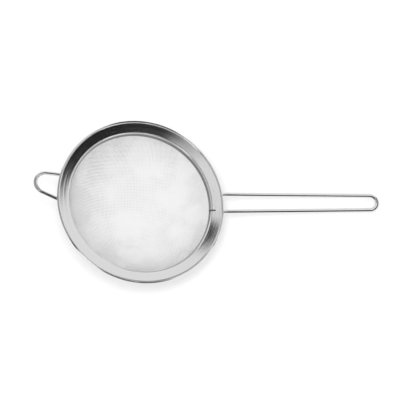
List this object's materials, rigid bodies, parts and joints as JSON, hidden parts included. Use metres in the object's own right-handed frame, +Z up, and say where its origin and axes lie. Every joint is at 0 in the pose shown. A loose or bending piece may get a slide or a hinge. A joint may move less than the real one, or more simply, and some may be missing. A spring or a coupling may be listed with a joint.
{
  "type": "mesh strainer",
  "caption": "Round kitchen strainer with a woven wire bowl, a wide polished rim, a hairpin wire handle and a wire rest loop.",
  "frame": {"origin": "on the table under the middle of the strainer's box, as it rests on its bowl and handle tip", "axes": "+X along the handle towards its tip, +Z up from the table"},
  "size_m": [0.403, 0.2, 0.1017],
  "materials": {
    "rim_steel": "polished stainless sheet with fine polishing lines round the rim",
    "collar_steel": "satin stainless sheet",
    "wire_steel": "polished round stainless wire",
    "mesh_steel": "bright drawn stainless wire, plain woven"
  },
  "bodies": {
    "root": {"rim": "rim_steel", "mesh_collar": "collar_steel", "handle": "wire_steel", "rest_loop": "wire_steel", "mesh_warp_01": "mesh_steel", "mesh_warp_02": "mesh_steel", "mesh_warp_03": "mesh_steel", "mesh_warp_04": "mesh_steel", "mesh_warp_05": "mesh_steel", "mesh_warp_06": "mesh_steel", "mesh_warp_07": "mesh_steel", "mesh_warp_08": "mesh_steel", "mesh_warp_09": "mesh_steel", "mesh_warp_10": "mesh_steel", "mesh_warp_11": "mesh_steel", "mesh_warp_12": "mesh_steel", "mesh_warp_13": "mesh_steel", "mesh_warp_14": "mesh_steel", "mesh_warp_15": "mesh_steel", "mesh_warp_16": "mesh_steel", "mesh_warp_17": "mesh_steel", "mesh_warp_18": "mesh_steel", "mesh_warp_19": "mesh_steel", "mesh_warp_20": "mesh_steel", "mesh_warp_21": "mesh_steel", "mesh_warp_22": "mesh_steel", "mesh_warp_23": "mesh_steel", "mesh_warp_24": "mesh_steel", "mesh_warp_25": "mesh_steel", "mesh_weft_01": "mesh_steel", "mesh_weft_02": "mesh_steel", "mesh_weft_03": "mesh_steel", "mesh_weft_04": "mesh_steel", "mesh_weft_05": "mesh_steel", "mesh_weft_06": "mesh_steel", "mesh_weft_07": "mesh_steel", "mesh_weft_08": "mesh_steel", "mesh_weft_09": "mesh_steel", "mesh_weft_10": "mesh_steel", "mesh_weft_11": "mesh_steel", "mesh_weft_12": "mesh_steel", "mesh_weft_13": "mesh_steel", "mesh_weft_14": "mesh_steel", "mesh_weft_15": "mesh_steel", "mesh_weft_16": "mesh_steel", "mesh_weft_17": "mesh_steel", "mesh_weft_18": "mesh_steel", "mesh_weft_19": "mesh_steel", "mesh_weft_20": "mesh_steel", "mesh_weft_21": "mesh_steel", "mesh_weft_22": "mesh_steel", "mesh_weft_23": "mesh_steel", "mesh_weft_24": "mesh_steel", "mesh_weft_25": "mesh_steel"}
  },
  "joints": []
}
